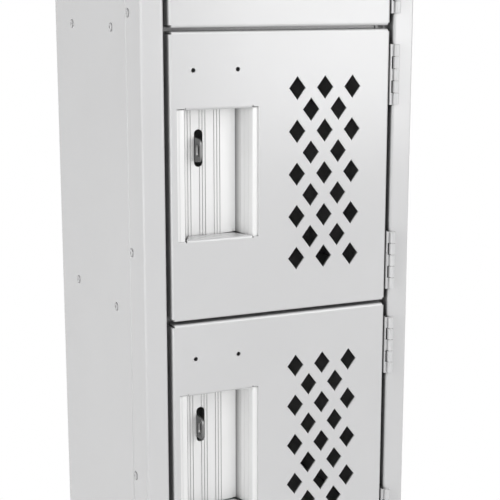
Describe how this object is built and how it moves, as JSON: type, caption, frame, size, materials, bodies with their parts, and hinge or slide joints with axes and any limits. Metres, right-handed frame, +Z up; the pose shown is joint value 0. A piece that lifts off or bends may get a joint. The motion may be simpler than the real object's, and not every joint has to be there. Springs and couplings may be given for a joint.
{
  "type": "locker cabinet",
  "caption": "Narrow steel box locker on legs: a column of right-hinged doors with diamond perforations, ribbed handle pockets and padlock staples.",
  "frame": {"origin": "middle of the bounding box at floor level", "axes": "+X to the right and +Y to the back as seen from the front, +Z up"},
  "size_m": [0.3076, 0.3134, 1.9812],
  "materials": {
    "frame_paint": "satin light grey powder coat",
    "panel_paint": "satin light grey powder coat",
    "door_paint": "satin light grey powder coat",
    "hinge_paint": "satin light grey powder coat",
    "rivet_paint": "satin light grey powder coat",
    "foot_paint": "satin light grey powder coat",
    "pocket_metal": "bright satin, ribbed",
    "staple_steel": "grey zinc plated",
    "pin_steel": "plain",
    "bumper_rubber": "matte"
  },
  "bodies": {
    "cabinet": {"left_upright": "frame_paint", "right_upright": "frame_paint", "bottom_rail": "frame_paint", "top_rail": "frame_paint", "cross_rail_1": "frame_paint", "cross_rail_2": "frame_paint", "cross_rail_3": "frame_paint", "cross_rail_4": "frame_paint", "cross_rail_5": "frame_paint", "left_side_panel": "panel_paint", "right_side_panel": "panel_paint", "back_panel": "panel_paint", "roof_panel": "panel_paint", "floor_panel": "panel_paint", "shelf_1": "panel_paint", "shelf_2": "panel_paint", "shelf_3": "panel_paint", "shelf_4": "panel_paint", "shelf_5": "panel_paint", "left_rear_leg": "frame_paint", "right_rear_leg": "frame_paint", "anchor_feet": "foot_paint", "upright_rivets": "rivet_paint", "shelf_rivets": "rivet_paint", "back_rivets": "rivet_paint", "padlock_staple_1": "staple_steel", "padlock_staple_2": "staple_steel", "padlock_staple_3": "staple_steel", "padlock_staple_4": "staple_steel", "padlock_staple_5": "staple_steel", "padlock_staple_6": "staple_steel", "frame_hinge_leaves_1": "hinge_paint", "frame_hinge_leaves_2": "hinge_paint", "frame_hinge_leaves_3": "hinge_paint", "frame_hinge_leaves_4": "hinge_paint", "frame_hinge_leaves_5": "hinge_paint", "frame_hinge_leaves_6": "hinge_paint", "hinge_pins": "pin_steel", "door_bumpers": "bumper_rubber"},
    "locker_door_1": {"door_1": "door_paint", "handle_pocket_1": "pocket_metal", "door_hinge_leaves_1": "hinge_paint"},
    "locker_door_2": {"door_2": "door_paint", "handle_pocket_2": "pocket_metal", "door_hinge_leaves_2": "hinge_paint"},
    "locker_door_3": {"door_3": "door_paint", "handle_pocket_3": "pocket_metal", "door_hinge_leaves_3": "hinge_paint"},
    "locker_door_4": {"door_4": "door_paint", "handle_pocket_4": "pocket_metal", "door_hinge_leaves_4": "hinge_paint"},
    "locker_door_5": {"door_5": "door_paint", "handle_pocket_5": "pocket_metal", "door_hinge_leaves_5": "hinge_paint"},
    "locker_door_6": {"door_6": "door_paint", "handle_pocket_6": "pocket_metal", "door_hinge_leaves_6": "hinge_paint"}
  },
  "joints": [
    {"name": "door_1_hinge", "type": "hinge", "parent": "cabinet", "child": "locker_door_1", "pos_m": [0.1301, -0.15368, 0.32855], "axis": [0, 0, 1], "range_deg": [0, 175]},
    {"name": "door_2_hinge", "type": "hinge", "parent": "cabinet", "child": "locker_door_2", "pos_m": [0.1301, -0.15368, 0.62385], "axis": [0, 0, 1], "range_deg": [0, 175]},
    {"name": "door_3_hinge", "type": "hinge", "parent": "cabinet", "child": "locker_door_3", "pos_m": [0.1301, -0.15368, 0.91915], "axis": [0, 0, 1], "range_deg": [0, 175]},
    {"name": "door_4_hinge", "type": "hinge", "parent": "cabinet", "child": "locker_door_4", "pos_m": [0.1301, -0.15368, 1.21445], "axis": [0, 0, 1], "range_deg": [0, 175]},
    {"name": "door_5_hinge", "type": "hinge", "parent": "cabinet", "child": "locker_door_5", "pos_m": [0.1301, -0.15368, 1.50975], "axis": [0, 0, 1], "range_deg": [0, 175]},
    {"name": "door_6_hinge", "type": "hinge", "parent": "cabinet", "child": "locker_door_6", "pos_m": [0.1301, -0.15368, 1.80505], "axis": [0, 0, 1], "range_deg": [0, 175]}
  ]
}
